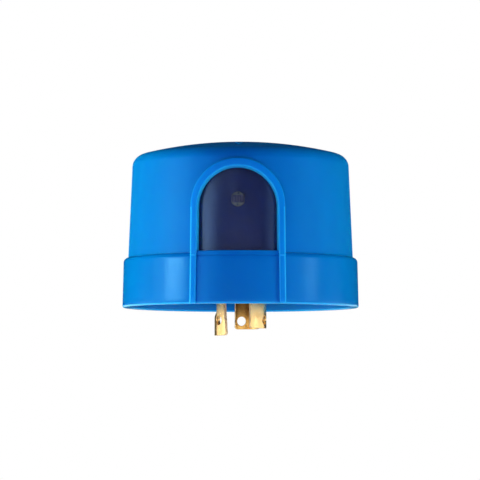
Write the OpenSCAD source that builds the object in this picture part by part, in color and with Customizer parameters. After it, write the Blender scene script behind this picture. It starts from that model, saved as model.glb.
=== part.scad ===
// Twist-lock photocell switch for outdoor lighting, in millimetres.
// The origin is on the axis, in the plane of the gasket's sealing face.
// Z is up and the window faces -Y.
// Heights named *_h in the cover's sections are above the skirt's lower edge.

/* [Cover] */
// Outside diameter of the skirt at its lower edge
skirt_d = 84; // [76:0.5:96]
// Height of the skirt, from its lower edge to the step
skirt_h = 17.65; // [15:0.05:22]
// How far the skirt reaches below the gasket's sealing face
skirt_drop = 6; // [4.5:0.25:7]
// Draft of the skirt, in degrees
skirt_draft = 1.4; // [0.5:0.1:2]
// Round on the skirt's upper edge
shoulder_r = 1.65; // [1:0.05:1.9]
// Width of the step between skirt and body, at the step's height
step_w = 1.6; // [1.2:0.05:1.9]
// Draft of the body, in degrees
body_draft = 2.46; // [1:0.02:3.5]
// Height of the cover, from the skirt's lower edge to the top of the dome
cover_h = 58.7; // [56:0.1:68]
// Radius of the domed top
dome_r = 145; // [120:1:200]
// Round between body and dome
corner_r = 4.5; // [3.2:0.1:6]
// Wall thickness
cover_wall = 2; // [1.6:0.05:2.4]

/* [Window frame] */
// Clear width of the arch between its legs
arch_w = 27.8; // [24:0.1:30]
// Height of the arch's centre
arch_h = 33.2; // [30:0.1:36]
// Width of the frame's legs
leg_w = 2.75; // [2.2:0.05:3.5]
// How far the legs spread at the skirt's lower edge
leg_flare = 0.35; // [0.1:0.05:0.8]
// How far the frame stands out from the skirt
frame_proud = 0.7; // [0.4:0.05:1.2]
// Draft of the frame's front, in degrees
frame_draft = 1; // [0.5:0.1:1.5]
// Height of the window's sill
sill_h = 18.2; // [17:0.1:22]
// Widening of the opening for each millimetre towards the front
jamb_splay = 0.34; // [0.1:0.02:0.5]
// Height of the fine witness line below the sill
witness_h = 16.5; // [14:0.1:17]
// Width of the witness line
witness_w = 0.45; // [0.3:0.05:0.8]
// Depth of the witness line
witness_depth = 0.3; // [0.15:0.05:0.5]

/* [Window] */
// Setback of the window from the frame's front
window_setback = 2.9; // [2.4:0.1:3.4]
// Thickness of the window
window_t = 2; // [1.2:0.1:2.4]
// Lap of the window behind the arch
window_lap = 1.2; // [0.8:0.1:1.4]
// Gap around the window in its rebate
window_gap = 0.1; // [0.05:0.01:0.2]

/* [Pointer] */
// Length of the raised pointer on the dome
pointer_l = 4.8; // [3:0.1:8]
// Width of the pointer
pointer_w = 2.4; // [1.5:0.1:8]
// Distance of the pointer's tip from the axis
pointer_tip = 30; // [12:0.5:31]
// Height of the pointer over the dome
pointer_t = 0.35; // [0.2:0.05:0.6]

/* [Base] */
// Thickness of the base's floor
base_t = 3.5; // [2.5:0.1:4]
// Thickness of the base's side wall
base_wall = 2.1; // [1.6:0.1:2.6]
// Gap between the base and the skirt
base_gap = 0.3; // [0.2:0.05:0.5]
// Reach of the cover's snap lugs under the base
lug_reach = 0.5; // [0.3:0.05:0.8]
// Height of a snap lug
lug_h = 2.1; // [1.5:0.1:2.6]
// Angle that one snap lug covers
lug_angle = 14; // [8:1:24]
// Width of the keys that stop the base from turning in the cover
key_w = 3; // [2:0.1:5]
// Length of the keys
key_l = 2.6; // [1.5:0.1:2.8]
// Gap around the keys
key_gap = 0.2; // [0.1:0.05:0.3]

/* [Gasket] */
// Outside diameter of the gasket
gasket_od = 66; // [60:0.5:72]
// Inside diameter of the gasket
gasket_id = 36; // [35:0.5:44]
// Thickness of the gasket
gasket_t = 3; // [2:0.1:4]

/* [Blades] */
// Outside diameter of the circle that the blades lie on
blade_od = 18.5; // [17.5:0.1:20]
// Thickness of the blades
blade_t = 1.5; // [1.2:0.05:1.7]
// Reach of the neutral blade below the gasket's sealing face
neutral_reach = 15.9; // [14.5:0.1:18]
// Reach of the line and load blades below the gasket's sealing face
live_reach = 13.4; // [12.5:0.1:14.5]
// Angle that the neutral blade's tip covers
neutral_span = 55; // [48:1:62]
// Angle that the line and load blades cover
live_span = 62; // [54:1:66]
// Angle by which the neutral blade's shank is narrower than its tip
shank_step = 22; // [16:1:26]
// Height of the sloping shoulder between shank and tip
shank_slope = 2; // [1.5:0.1:2.4]
// Distance of the shank's shoulder above the hole
shank_gap = 1.2; // [0.8:0.1:2]
// Diameter of the holes in the blades
blade_hole_d = 3.3; // [2.6:0.1:3.6]
// Distance of the holes below the gasket's sealing face
blade_hole_drop = 10.5; // [10:0.1:11]
// Round at the tips' corners
tip_r = 1; // [0.5:0.1:1.3]
// Gap around a blade in its slot in the base
slot_gap = 0.2; // [0.1:0.05:0.3]
// Width of a blade's foot on the base
foot_w = 6.5; // [6:0.1:7]
// Distance of the foot's end from the axis
foot_reach = 17; // [16.4:0.1:17.4]
// Width of the tail that rises from the foot to the board
tail_w = 3; // [2:0.1:3.6]
// Reach of the tail above the board
tail_reach = 1.2; // [0.8:0.1:2]

/* [Rivets] */
// Diameter of the rivets' shanks
rivet_d = 3; // [2.4:0.1:3.4]
// Diameter of the rivets' heads
rivet_head_d = 5.2; // [4.6:0.1:5.6]
// Height of the rivets' heads
rivet_head_t = 1; // [0.6:0.1:1.4]
// Gap around the rivets' shanks
rivet_gap = 0.1; // [0.05:0.01:0.2]

/* [Circuit board] */
// Gap between the board's edge and the base's wall
board_edge = 7.2; // [6:0.1:8]
// Thickness of the board
board_t = 1.6; // [1:0.1:2]
// Height of the posts under the board
post_h = 6.5; // [5:0.1:9]
// Diameter of the posts
post_d = 6.4; // [5.6:0.1:7]
// Distance of the posts' axes from the board's edge
post_inset = 4; // [3.6:0.1:4.6]
// Diameter of the board screws
screw_d = 2.6; // [2:0.1:3]
// Diameter of the screws' heads
screw_head_d = 5; // [4.4:0.1:5.2]
// Height of the screws' heads
screw_head_t = 1.6; // [1:0.1:2.2]
// Length of the screws below the head
screw_l = 7; // [5:0.1:9]
// Gap around screws and leads in their holes
hole_gap = 0.1; // [0.05:0.01:0.2]

/* [Photocell] */
// Diameter of the cell
cell_d = 5; // [4.4:0.1:6]
// Width of the cell across its flat sides
cell_w = 4.4; // [3.8:0.1:5]
// Thickness of the cell
cell_t = 2.1; // [1.5:0.1:2.5]
// Height of the cell's centre above the skirt's lower edge
cell_h = 36.1; // [33:0.1:39]
// Gap between the window and the cell
cell_gap = 1.6; // [1:0.1:2]
// Diameter of the leads of the cell and of the board's parts
lead_d = 0.7; // [0.5:0.05:0.8]
// Distance between the cell's leads
cell_pitch = 3.4; // [2.5:0.1:3.6]
// Radius of the bend in the cell's leads
lead_bend = 1.5; // [1:0.1:2]
// Width of the holder behind the cell
holder_w = 27; // [22:0.5:29]
// Thickness of the holder
holder_t = 2; // [1.4:0.1:2.4]
// Height of the ribs that hold the holder on the base
rib_h = 3; // [2:0.1:4]
// Thickness of those ribs
rib_t = 1.4; // [1:0.1:1.8]

/* [Parts on the board] */
// Gap between neighbouring parts
part_gap = 1.2; // [0.8:0.1:1.6]
// Length of the relay
relay_l = 18.5; // [16:0.1:19]
// Depth of the relay
relay_w = 15; // [13:0.1:15.4]
// Height of the relay
relay_h = 15.5; // [12:0.1:20]
// Length of the film capacitor
film_l = 18; // [15:0.1:19]
// Depth of the film capacitor
film_w = 8.5; // [6:0.1:9]
// Height of the film capacitor
film_h = 15; // [11:0.1:20]
// Diameter of the surge arrester
arrester_d = 14; // [10:0.1:15]
// Thickness of the surge arrester
arrester_t = 4.4; // [3.5:0.1:4.8]
// Gap under the surge arrester
arrester_lift = 1.5; // [1:0.1:3]
// Diameter of the filter capacitor
filter_d = 8; // [6:0.1:8.6]
// Height of the filter capacitor
filter_h = 12; // [8:0.1:18]
// Diameter of a diode
diode_d = 2.7; // [2:0.1:3]
// Length of a diode
diode_l = 5.2; // [4:0.1:6]
// Length of the straight lead at each end of a diode or resistor
lead_out = 2.2; // [1.6:0.1:2.4]
// Diameter of the dropping resistor
dropper_d = 5; // [4:0.1:5.4]
// Length of the dropping resistor
dropper_l = 14; // [11:0.1:14.6]
// Diameter of a bias resistor
bias_d = 2.4; // [1.8:0.1:2.6]
// Length of a bias resistor
bias_l = 6.5; // [5:0.1:7]
// Diameter of the transistor
transistor_d = 4.8; // [4:0.1:5.2]
// Height of the transistor
transistor_h = 4.8; // [4:0.1:6]
// Gap under parts that stand off the board
stand_off = 0.6; // [0.4:0.1:1.5]
// Reach of the leads below the board
lead_reach = 1.2; // [0.8:0.1:1.6]
// Diameter of a solder joint
joint_d = 2; // [1.6:0.1:2.2]
// Height of a solder joint
joint_h = 0.9; // [0.5:0.1:1]

/* [Part to draw] */
// Name of the sub-part to draw, or all

/* [Hidden] */
$fn = 96;

// Small overlap of cutters, and of pieces joined in one sub-part
lap = 0.5;
// A round this much larger than its tangents' meets them cleanly
ease = 0.002;

// Radii at a height above the skirt's lower edge
function skirt_r(h) = skirt_d / 2 - h * tan(skirt_draft);
function body_r(h) = skirt_r(skirt_h) - step_w - (h - skirt_h) * tan(body_draft);
function frame_r(h) = skirt_d / 2 + frame_proud - h * tan(frame_draft);

// Shoulder on the skirt
shoulder_z = skirt_h - shoulder_r;
shoulder_x = skirt_r(shoulder_z) - shoulder_r / cos(skirt_draft);

// Corner between body and dome: its centre is the same for the outside and the inside
dome_z = cover_h - dome_r;
corner_a = body_r(0) - corner_r / cos(body_draft);
corner_k = tan(body_draft);
corner_b = corner_a * corner_k + dome_z;
corner_c = corner_a * corner_a + dome_z * dome_z - pow(dome_r - corner_r, 2);
corner_z = (corner_b + sqrt(corner_b * corner_b - (1 + corner_k * corner_k) * corner_c))
  / (1 + corner_k * corner_k);
corner_x = corner_a - corner_k * corner_z;
corner_turn = atan2(corner_z - dome_z, corner_x);

// Frame and window
ledge_h = skirt_h - cover_wall;
arch_top = arch_h + arch_w / 2;
leg_front = sqrt(pow(frame_r(arch_h), 2) - pow(arch_w / 2, 2));
open_h = arch_h - jamb_splay * (frame_r(arch_top) - leg_front);
window_r = frame_r(arch_h) - window_setback;
window_in = window_r - window_t;
front_max = frame_r(0) + lap;

// Heights from the gasket's sealing face
base_z = gasket_t;
floor_z = base_z + base_t;
wall_top = ledge_h - skirt_drop;
board_z = floor_z + post_h;
deck_z = board_z + board_t;
base_r = skirt_r(ledge_h) - cover_wall / cos(skirt_draft) - base_gap;
board_d = 2 * (base_r - base_wall - board_edge);
post_r = board_d / 2 - post_inset;

// Blades
blade_r = blade_od / 2;
blade_in = blade_r - blade_t;
neutral_a = 181.5;
line_a = 293.5;
load_a = 43;
neutral_from = -(neutral_span + shank_step) / 2;
live_from = -live_span / 2;
neutral_hole = neutral_from + 32;
live_hole = live_from + live_span - 16;
neutral_mid = neutral_a - neutral_from;
line_mid = line_a - live_from;
load_mid = load_a - live_from;
shank_top = -blade_hole_drop + blade_hole_d / 2 + shank_gap;
foot_mid = (blade_r + foot_reach - blade_t) / 2;
foot_angles = [neutral_mid, line_mid, load_mid];

// Photocell and holder
cell_z = cell_h - skirt_drop;
cell_y = -(window_in - cell_gap);
holder_y = cell_y + cell_t;
board_front = holder_y + holder_t + part_gap;
lead_y = board_front + 2 * lead_bend;
holder_top = corner_z - skirt_drop;

// Places on the board
post_angles = [90, 210, 330];
key_angles = [30, 150, 270];
relay_x = part_gap;
relay_y = -relay_w / 3;
film_x = -part_gap - film_l;
film_y = -film_w / 4;
arrester_x = part_gap - arrester_d / 2;
arrester_y = foot_reach + (arrester_t - part_gap) / 2;
filter_x = film_x + filter_d / 4;
filter_y = film_y + film_w + part_gap + filter_d / 2;
zener_y = relay_y - part_gap - diode_d / 2;
dropper_y = zener_y - diode_d / 2 - part_gap - dropper_d / 2;
diode_y = dropper_y - dropper_d / 2 - part_gap - diode_d / 2;
diode_x = cell_pitch / 2 + joint_d + part_gap + diode_l / 2 + lead_out;
diode_pitch = diode_d + part_gap;
bias_x = relay_x + relay_l + part_gap + bias_d / 2;
transistor_x = relay_x + relay_l * 2 / 3;
transistor_y = relay_y + relay_w + part_gap + transistor_d / 2;

relay_leads = [for (i = [0, 1], j = [0, 1])
  [relay_x + joint_d + i * (relay_l - 2 * joint_d), relay_y + joint_d + j * (relay_w - 2 * joint_d)]];
film_leads = [for (i = [0, 1]) [film_x + joint_d + i * (film_l - 2 * joint_d), film_y + film_w / 2]];
arrester_leads = [for (i = [-1, 1]) [arrester_x + i * arrester_d * 0.27, arrester_y]];
filter_leads = [for (i = [-1, 1]) [filter_x + i * filter_d * 0.22, filter_y]];
transistor_leads = [for (i = [-1, 0, 1]) [transistor_x + i * 2 * lead_d, transistor_y]];
cell_leads = [for (i = [-1, 1]) [i * cell_pitch / 2, lead_y]];
diode_spots = [for (i = [-1, 1], j = [0, 1]) [i * diode_x, diode_y - j * diode_pitch]];
bias_right = [bias_x, relay_y + relay_w / 2 - bias_d];
bias_left = [film_x - part_gap - bias_d / 2, film_y + film_w / 2 - bias_d / 2];
bias_front = [
  -(diode_l + bias_l) / 2 - 2 * lead_out - joint_d,
  film_y - part_gap - bias_d / 2
];
function ends_x(p, l) = [for (i = [-1, 1]) [p[0] + i * (l / 2 + lead_out), p[1]]];
function ends_y(p, l) = [for (i = [-1, 1]) [p[0], p[1] + i * (l / 2 + lead_out)]];
board_leads = concat(
  relay_leads, film_leads, arrester_leads, filter_leads, transistor_leads, cell_leads,
  [for (p = diode_spots) each ends_x(p, diode_l)],
  ends_y(bias_right, bias_l),
  ends_y(bias_left, bias_l),
  ends_x(bias_front, bias_l),
  ends_x([0, zener_y], diode_l),
  ends_x([0, dropper_y], dropper_l)
);

// Half section of the body, set in by a wall
module body_section(inset, low) {
  r = corner_r - inset;
  side = inset / cos(body_draft);
  tangent = [corner_x + r * cos(body_draft), corner_z + r * sin(body_draft)];
  polygon([
    [0, low], [body_r(low) - side, low], tangent, [corner_x, corner_z], [0, corner_z]
  ]);
  intersection() {
    translate([0, dome_z]) circle(dome_r - inset, $fn = 720);
    polygon([
      [0, corner_z], [corner_x, corner_z],
      [corner_x + 3 * r * cos(corner_turn), corner_z + 3 * r * sin(corner_turn)],
      [0, cover_h + 3 * r]
    ]);
  }
  translate([corner_x, corner_z]) circle(r + ease);
}

// Half section of the skirt with its shoulder
module skirt_section() {
  tangent = [
    shoulder_x + shoulder_r * cos(skirt_draft),
    shoulder_z + shoulder_r * sin(skirt_draft)
  ];
  polygon([
    [0, 0], [skirt_r(0), 0], tangent, [shoulder_x, shoulder_z],
    [shoulder_x, skirt_h], [0, skirt_h]
  ]);
  translate([shoulder_x, shoulder_z]) circle(shoulder_r + ease);
}

module skirt_hollow() {
  side = cover_wall / cos(skirt_draft);
  polygon([
    [0, -lap], [skirt_r(-lap) - side, -lap], [skirt_r(ledge_h) - side, ledge_h], [0, ledge_h]
  ]);
}

// Outline of an arch that stands on the height "low", with straight or spread legs
module arch(r, low, spread = 0) {
  translate([0, arch_h]) circle(r);
  polygon([[-r, arch_h], [-r - spread, low], [r + spread, low], [r, arch_h]]);
}

// Turns an outline drawn in width and height to face -Y, through the front wall
module facing_front(deep) {
  translate([0, -deep, 0]) rotate([90, 0, 0]) linear_extrude(front_max + lap - deep) children();
}

module frame_cone(out = 0) {
  cylinder(r1 = frame_r(0) + out, r2 = frame_r(cover_h) + out, h = cover_h);
}

module skirt_cone(out = 0) {
  cylinder(r1 = skirt_r(0) + out, r2 = skirt_r(cover_h) + out, h = cover_h);
}

// The two legs and the arch over them
module frame() {
  intersection() {
    facing_front(window_in - 12) difference() {
      arch(arch_w / 2 + leg_w, 0, leg_flare);
      translate([0, -lap]) arch(arch_w / 2 - lap, 0, leg_flare);
    }
    frame_cone();
  }
}

// The strip under the sill, in line with the skirt
module sill() {
  intersection() {
    translate([-arch_w / 2 - lap, -front_max, ledge_h]) {
      cube([arch_w + 2 * lap, 20, sill_h - ledge_h]);
    }
    skirt_cone();
  }
}

// Opening of the window, wider at the front
module opening() {
  far = front_max;
  near = window_in * 0.85;
  wide = arch_w / 2 + jamb_splay * (far - leg_front);
  narrow = arch_w / 2 + jamb_splay * (near - leg_front);
  translate([0, 0, open_h]) rotate([90, 0, 0]) rotate_extrude(angle = 180) {
    polygon([[0, near], [narrow, near], [wide, far], [0, far]]);
  }
  translate([0, 0, sill_h]) linear_extrude(open_h - sill_h) {
    polygon([[-wide, -far], [wide, -far], [narrow, -near], [-narrow, -near]]);
  }
}

// Below the sill the legs stand free of the panel between them
module panel_relief() {
  difference() {
    facing_front(window_in - 12) {
      polygon([
        [-arch_w / 2 - leg_flare, -lap], [arch_w / 2 + leg_flare, -lap],
        [arch_w / 2, sill_h + lap], [-arch_w / 2, sill_h + lap]
      ]);
    }
    translate([0, 0, -2 * lap]) skirt_cone(2 * lap * tan(skirt_draft));
  }
}

module rebate(gap) {
  intersection() {
    facing_front(window_in - 12) arch(arch_w / 2 + window_lap - gap, sill_h - window_lap + gap);
    cylinder(r = window_r, h = cover_h);
  }
}

// Fine line across the panel and, half as deep, across the legs
module witness_line() {
  half = arch_w / 2 + leg_w + leg_flare;
  intersection() {
    translate([-half, -front_max, witness_h - witness_w / 2]) cube([2 * half, 20, witness_w]);
    difference() {
      frame_cone(lap);
      frame_cone(-witness_depth / 2);
    }
  }
  intersection() {
    translate([-arch_w / 2, -front_max, witness_h - witness_w / 2]) cube([arch_w, 20, witness_w]);
    difference() {
      frame_cone(lap);
      skirt_cone(-witness_depth);
    }
  }
}

module pointer() {
  sink = pow(pointer_tip, 2) / (2 * dome_r) + lap;
  intersection() {
    translate([0, -pointer_tip, cover_h - sink]) linear_extrude(sink + pointer_t + lap) {
      polygon([[0, 0], [pointer_w / 2, pointer_l], [-pointer_w / 2, pointer_l]]);
    }
    translate([0, 0, dome_z]) sphere(dome_r + pointer_t, $fn = 720);
  }
}

// Lugs that the base snaps over, and keys that stop it from turning
module snap_lugs() {
  top = base_z + skirt_drop - base_gap / 3;
  wall = skirt_r(top) - cover_wall;
  for (a = key_angles) {
    rotate([0, 0, a + 60 - lug_angle / 2]) rotate_extrude(angle = lug_angle) {
      polygon([
        [wall + lap, top], [base_r - lug_reach, top],
        [base_r - lug_reach, top - lug_h / 3], [wall + lap, top - lug_h]
      ]);
    }
  }
}

module keys(gap) {
  for (a = key_angles) {
    rotate([0, 0, a]) translate([base_r - base_wall - gap, -key_w / 2 - gap, ledge_h - key_l - gap]) {
      cube([base_wall + base_gap + lap + gap, key_w + 2 * gap, key_l + lap + gap]);
    }
  }
}

module cover() {
  color([0.0, 0.36, 0.78]) translate([0, 0, -skirt_drop]) {
    difference() {
      union() {
        rotate_extrude($fn = 360) {
          skirt_section();
          body_section(0, 1);
        }
        frame();
        sill();
        pointer();
      }
      rotate_extrude($fn = 360) {
        skirt_hollow();
        body_section(cover_wall, 1);
      }
      rebate(0);
      opening();
      panel_relief();
      witness_line();
    }
    snap_lugs();
    keys(0);
  }
}

module window() {
  color([0.08, 0.12, 0.24]) translate([0, 0, -skirt_drop]) {
    difference() {
      rebate(window_gap);
      cylinder(r = window_in, h = cover_h);
    }
  }
}

// Ring sector between two radii
module sector(r_in, r_out, low, high, from, span) {
  rotate([0, 0, from]) translate([0, 0, low]) rotate_extrude(angle = span) {
    translate([r_in, 0]) square([r_out - r_in, high - low]);
  }
}

// Cuts a round at a blade's lower corner; side 1 is the end with the larger angle
module tip_round(angle, side, low) {
  rotate([0, 0, angle]) difference() {
    translate([blade_in - 1, side > 0 ? -tip_r : -1, low - 1]) cube([blade_t + 2, tip_r + 1, tip_r + 1]);
    translate([blade_in - 2, -side * tip_r, low + tip_r]) rotate([0, 90, 0]) cylinder(r = tip_r, h = blade_t + 4);
  }
}

// Cuts the side of a blade's shank, down to a sloping shoulder above the wider tip
module shank_cut(from, step) {
  top = floor_z + blade_t + 1;
  far = 2 * blade_r * sin(step);
  rotate([0, 0, from + step]) translate([blade_in - 2, 0, 0]) rotate([90, 0, 90]) {
    linear_extrude(blade_t + 4) {
      polygon([[0, top], [0, shank_top], [-far, shank_top - 2 * shank_slope], [-far, top]]);
    }
  }
}

// Curved blade with its hole, foot and tail, drawn with the foot on +X and then turned into place
module blade(mid, from, span, reach, hole_angle, step = 0) {
  rotate([0, 0, mid]) {
    difference() {
      sector(blade_in, blade_r, -reach, floor_z + blade_t, from, span);
      rotate([0, 0, hole_angle]) translate([blade_in - 2, 0, -blade_hole_drop]) {
        rotate([0, 90, 0]) cylinder(d = blade_hole_d, h = blade_t + 4);
      }
      tip_round(from, -1, -reach);
      tip_round(from + span, 1, -reach);
      if (step > 0) shank_cut(from, step);
    }
    difference() {
      union() {
        translate([blade_r - blade_t / 2, -foot_w / 2, floor_z]) {
          cube([foot_reach - blade_r + blade_t / 2, foot_w, blade_t]);
        }
        translate([foot_reach - blade_t, -tail_w / 2, floor_z]) {
          cube([blade_t, tail_w, deck_z + tail_reach - floor_z]);
        }
      }
      translate([foot_mid, 0, floor_z - 1]) cylinder(d = rivet_d + 2 * rivet_gap, h = blade_t + 2);
    }
  }
}

module neutral_blade() {
  color([0.86, 0.66, 0.32]) {
    blade(neutral_mid, neutral_from, neutral_span, neutral_reach, neutral_hole, shank_step);
  }
}

module line_blade() {
  color([0.86, 0.66, 0.32]) blade(line_mid, live_from, live_span, live_reach, live_hole);
}

module load_blade() {
  color([0.86, 0.66, 0.32]) blade(load_mid, live_from, live_span, live_reach, live_hole);
}

module blade_rivets() {
  color([0.80, 0.62, 0.32]) for (a = foot_angles) {
    rotate([0, 0, a]) translate([foot_mid, 0, 0]) {
      translate([0, 0, base_z]) cylinder(d = rivet_d, h = base_t + blade_t);
      translate([0, 0, floor_z + blade_t]) cylinder(d = rivet_head_d, h = rivet_head_t);
      translate([0, 0, base_z - rivet_head_t]) cylinder(d = rivet_head_d, h = rivet_head_t);
    }
  }
}

module gasket() {
  color([0.10, 0.10, 0.11]) difference() {
    cylinder(d = gasket_od, h = gasket_t);
    translate([0, 0, -1]) cylinder(d = gasket_id, h = gasket_t + 2);
  }
}

module base() {
  side_gap = slot_gap / blade_in * 57.3;
  color([0.16, 0.17, 0.19]) difference() {
    union() {
      translate([0, 0, base_z]) cylinder(r = base_r, h = base_t);
      difference() {
        translate([0, 0, base_z]) cylinder(r = base_r, h = wall_top - base_z);
        translate([0, 0, floor_z]) cylinder(r = base_r - base_wall, h = wall_top);
      }
      for (a = post_angles) {
        rotate([0, 0, a]) translate([post_r, 0, base_z]) cylinder(d = post_d, h = base_t + post_h);
      }
      for (y = [holder_y - rib_t, holder_y + holder_t]) {
        translate([-holder_w / 4, y, base_z]) cube([holder_w / 2, rib_t, base_t + rib_h]);
      }
    }
    translate([0, 0, -skirt_drop]) keys(key_gap);
    sector(
      blade_in - slot_gap, blade_r + slot_gap, base_z - 1, floor_z + 1,
      neutral_a - side_gap, neutral_span + 2 * side_gap
    );
    for (a = [line_a, load_a]) {
      sector(
        blade_in - slot_gap, blade_r + slot_gap, base_z - 1, floor_z + 1,
        a - side_gap, live_span + 2 * side_gap
      );
    }
    for (a = foot_angles) {
      rotate([0, 0, a]) translate([foot_mid, 0, base_z - 1]) {
        cylinder(d = rivet_d + 2 * rivet_gap, h = base_t + 2);
      }
    }
    for (a = post_angles) {
      rotate([0, 0, a]) translate([post_r, 0, board_z + board_t - screw_l - 0.5]) {
        cylinder(d = screw_d + 2 * hole_gap, h = screw_l + 1);
      }
    }
  }
}

module photocell() {
  color([0.62, 0.56, 0.48]) translate([0, holder_y, cell_z]) intersection() {
    rotate([90, 0, 0]) cylinder(d = cell_d, h = cell_t);
    translate([-cell_w / 2, -cell_t - 1, -cell_d]) cube([cell_w, cell_t + 2, 2 * cell_d]);
  }
}

module photocell_leads() {
  color([0.75, 0.75, 0.77]) for (i = [-1, 1]) {
    translate([i * cell_pitch / 2, 0, 0]) {
      translate([0, lead_y - lead_bend, cell_z]) rotate([90, 0, 0]) {
        cylinder(d = lead_d, h = lead_y - lead_bend - holder_y);
      }
      translate([0, lead_y - lead_bend, cell_z - lead_bend]) rotate([90, 0, 90]) {
        rotate_extrude(angle = 90) translate([lead_bend, 0]) circle(d = lead_d);
      }
      translate([0, lead_y, board_z - lead_reach]) {
        cylinder(d = lead_d, h = cell_z - lead_bend - board_z + lead_reach);
      }
    }
  }
}

module photocell_holder() {
  color([0.04, 0.08, 0.20]) difference() {
    translate([0, holder_y + holder_t, 0]) rotate([90, 0, 0]) linear_extrude(holder_t) {
      translate([0, holder_top - holder_w / 2]) circle(d = holder_w);
      translate([-holder_w / 2, floor_z]) square([holder_w, holder_top - holder_w / 2 - floor_z]);
    }
    for (i = [-1, 1]) {
      translate([i * cell_pitch / 2, holder_y - 1, cell_z]) rotate([-90, 0, 0]) {
        cylinder(d = lead_d + 2 * hole_gap, h = holder_t + 2);
      }
    }
  }
}

module circuit_board() {
  color([0.10, 0.32, 0.18]) difference() {
    translate([0, 0, board_z]) cylinder(d = board_d, h = board_t);
    translate([-board_d, board_front - 40, board_z - 1]) {
      cube([2 * board_d, 40, board_t + 2]);
    }
    for (a = post_angles) {
      rotate([0, 0, a]) translate([post_r, 0, board_z - 1]) cylinder(d = screw_d + 2 * hole_gap, h = board_t + 2);
    }
    for (a = foot_angles) {
      rotate([0, 0, a]) {
        translate([foot_reach - blade_t - hole_gap, -tail_w / 2 - hole_gap, board_z - 1]) {
          cube([blade_t + 2 * hole_gap, tail_w + 2 * hole_gap, board_t + 2]);
        }
      }
    }
    for (p = board_leads) {
      translate([p[0], p[1], board_z - 1]) cylinder(d = lead_d + 2 * hole_gap, h = board_t + 2);
    }
  }
}

module board_screws() {
  color([0.72, 0.73, 0.75]) for (a = post_angles) {
    rotate([0, 0, a]) translate([post_r, 0, deck_z]) {
      translate([0, 0, -screw_l]) cylinder(d = screw_d, h = screw_l);
      difference() {
        cylinder(d = screw_head_d, h = screw_head_t);
        for (t = [0, 90]) {
          rotate([0, 0, t]) translate([-screw_head_d * 0.3, -0.4, screw_head_t * 0.45]) {
            cube([screw_head_d * 0.6, 0.8, screw_head_t]);
          }
        }
      }
    }
  }
}

// Upright leads from a height above the board to below it
module leads(points, high) {
  for (p = points) {
    translate([p[0], p[1], board_z - lead_reach]) cylinder(d = lead_d, h = high - board_z + lead_reach);
  }
}

module relay() {
  color([0.07, 0.07, 0.08]) {
    translate([relay_x, relay_y, deck_z]) cube([relay_l, relay_w, relay_h]);
    leads(relay_leads, deck_z + lap);
  }
}

module film_capacitor() {
  color([0.78, 0.66, 0.22]) {
    translate([film_x, film_y, deck_z]) cube([film_l, film_w, film_h]);
    leads(film_leads, deck_z + lap);
  }
}

module surge_arrester() {
  color([0.78, 0.42, 0.14]) {
    translate([arrester_x, arrester_y + arrester_t / 2, deck_z + arrester_lift + arrester_d / 2]) {
      rotate([90, 0, 0]) cylinder(d = arrester_d, h = arrester_t);
    }
    leads(arrester_leads, deck_z + arrester_lift + arrester_d / 3);
  }
}

module filter_capacitor() {
  color([0.10, 0.11, 0.20]) {
    translate([filter_x, filter_y, deck_z]) cylinder(d = filter_d, h = filter_h);
    leads(filter_leads, deck_z + lap);
  }
}

// Round part lying along X, on two bent leads
module axial(d, l) {
  z = deck_z + stand_off + d / 2;
  bend = lead_d;
  end = l / 2 + lead_out - bend;
  translate([-l / 2, 0, z]) rotate([0, 90, 0]) cylinder(d = d, h = l);
  translate([-end, 0, z]) rotate([0, 90, 0]) cylinder(d = lead_d, h = 2 * end);
  for (side = [0, 1]) {
    mirror([side, 0, 0]) {
      translate([end, 0, z - bend]) rotate([90, 0, 0]) rotate_extrude(angle = 90) {
        translate([bend, 0]) circle(d = lead_d);
      }
      translate([end + bend, 0, board_z - lead_reach]) {
        cylinder(d = lead_d, h = z - bend - board_z + lead_reach);
      }
    }
  }
}

module rectifier_diodes() {
  color([0.08, 0.08, 0.09]) for (p = diode_spots) {
    translate([p[0], p[1], 0]) axial(diode_d, diode_l);
  }
}

module zener_diode() {
  color([0.55, 0.24, 0.12]) translate([0, zener_y, 0]) axial(diode_d, diode_l);
}

module dropping_resistor() {
  color([0.45, 0.50, 0.52]) translate([0, dropper_y, 0]) axial(dropper_d, dropper_l);
}

module bias_resistors() {
  color([0.72, 0.60, 0.44]) {
    for (p = [bias_right, bias_left]) {
      translate([p[0], p[1], 0]) rotate([0, 0, 90]) axial(bias_d, bias_l);
    }
    translate([bias_front[0], bias_front[1], 0]) axial(bias_d, bias_l);
  }
}

module switching_transistor() {
  color([0.06, 0.06, 0.07]) {
    intersection() {
      translate([transistor_x, transistor_y, deck_z + stand_off]) cylinder(d = transistor_d, h = transistor_h);
      translate([transistor_x - transistor_d, transistor_y - transistor_d * 0.3, deck_z]) {
        cube([2 * transistor_d, transistor_d, transistor_h + stand_off + 1]);
      }
    }
    leads(transistor_leads, deck_z + stand_off + lap);
  }
}

// Joints under the board at the leads, and on top of it at the blades' tails
module solder_joints() {
  color([0.70, 0.71, 0.73]) {
    for (p = board_leads) {
      translate([p[0], p[1], board_z - joint_h]) difference() {
        cylinder(d1 = joint_d * 0.6, d2 = joint_d, h = joint_h);
        translate([0, 0, -1]) cylinder(d = lead_d, h = joint_h + 2);
      }
    }
    for (a = foot_angles) {
      rotate([0, 0, a]) translate([foot_reach - blade_t / 2, 0, deck_z]) difference() {
        cylinder(r1 = tail_w * 0.8, r2 = tail_w * 0.65, h = joint_h);
        translate([-blade_t / 2, -tail_w / 2, -1]) cube([blade_t, tail_w, joint_h + 2]);
      }
    }
  }
}

cover();
window();
base();
gasket();
neutral_blade();
line_blade();
load_blade();
blade_rivets();
photocell();
photocell_leads();
photocell_holder();
circuit_board();
board_screws();
relay();
film_capacitor();
surge_arrester();
filter_capacitor();
rectifier_diodes();
zener_diode();
dropping_resistor();
bias_resistors();
switching_transistor();
solder_joints();
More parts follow.
